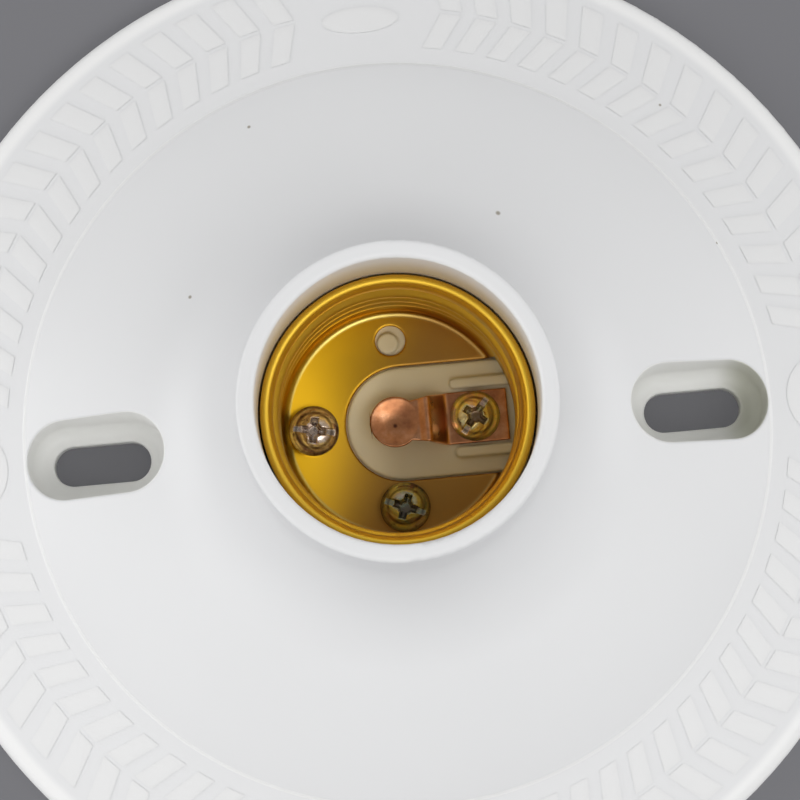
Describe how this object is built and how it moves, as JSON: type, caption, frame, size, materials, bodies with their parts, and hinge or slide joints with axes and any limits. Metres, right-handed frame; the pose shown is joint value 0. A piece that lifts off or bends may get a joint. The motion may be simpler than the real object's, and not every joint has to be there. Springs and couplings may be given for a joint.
{
  "type": "batten lamp holder",
  "caption": "Round white moulded batten lamp holder with a flared dome, chevron band, slotted fixing pockets, E27 screw shell and sprung centre contact.",
  "frame": {"origin": "centre of the back rim plane, on the axis of the mouth", "axes": "+Z out of the mouth, +X towards the fixing slot beside the contact screw, +Y across"},
  "size_m": [0.11, 0.11, 0.044],
  "materials": {
    "white_plastic": "semi-gloss moulded",
    "gold_sheet": "bright gold-coloured plate on drawn sheet",
    "copper_strip": "bare copper, slightly dull",
    "passivated_steel": "yellow passivated zinc",
    "brass_plate": "bare brass",
    "plain_steel": "bright zinc"
  },
  "bodies": {
    "holder": {"housing": "white_plastic", "screw_shell": "gold_sheet", "contact_screw": "passivated_steel", "shell_screw_side": "passivated_steel", "shell_screw_lower": "passivated_steel", "live_plate": "brass_plate", "neutral_plate": "brass_plate"},
    "contact": {"centre_contact": "copper_strip"},
    "live_clamp": {"live_washer": "plain_steel"},
    "live_screw": {"live_clamp_screw": "plain_steel"},
    "neutral_clamp": {"neutral_washer": "plain_steel"},
    "neutral_screw": {"neutral_clamp_screw": "plain_steel"}
  },
  "joints": [
    {"name": "contact_flex", "type": "hinge", "parent": "holder", "child": "contact", "pos_m": [0.0051, 0, 0.01855], "axis": [0, -1, 0], "range_deg": [0, 12], "stiffness_Nm_per_rad": 0.12, "deforming": ["centre_contact"]},
    {"name": "live_clamp_travel", "type": "slide", "parent": "holder", "child": "live_clamp", "axis": [0, 0, -1], "range_m": [0, 0.0015]},
    {"name": "live_clamp_turn", "type": "hinge", "parent": "live_clamp", "child": "live_screw", "pos_m": [0.0082, 0.0084, 0.0113], "axis": [0, 0, -1], "range_deg": [0, 1080]},
    {"name": "neutral_clamp_travel", "type": "slide", "parent": "holder", "child": "neutral_clamp", "axis": [0, 0, -1], "range_m": [0, 0.0015]},
    {"name": "neutral_clamp_turn", "type": "hinge", "parent": "neutral_clamp", "child": "neutral_screw", "pos_m": [-0.0089, -0.0084, 0.0113], "axis": [0, 0, -1], "range_deg": [0, 1080]}
  ],
  "couplings": [
    {"joint": "live_clamp_turn", "follows": "live_clamp_travel", "rad_per_m": 12566},
    {"joint": "neutral_clamp_turn", "follows": "neutral_clamp_travel", "rad_per_m": 12566}
  ]
}
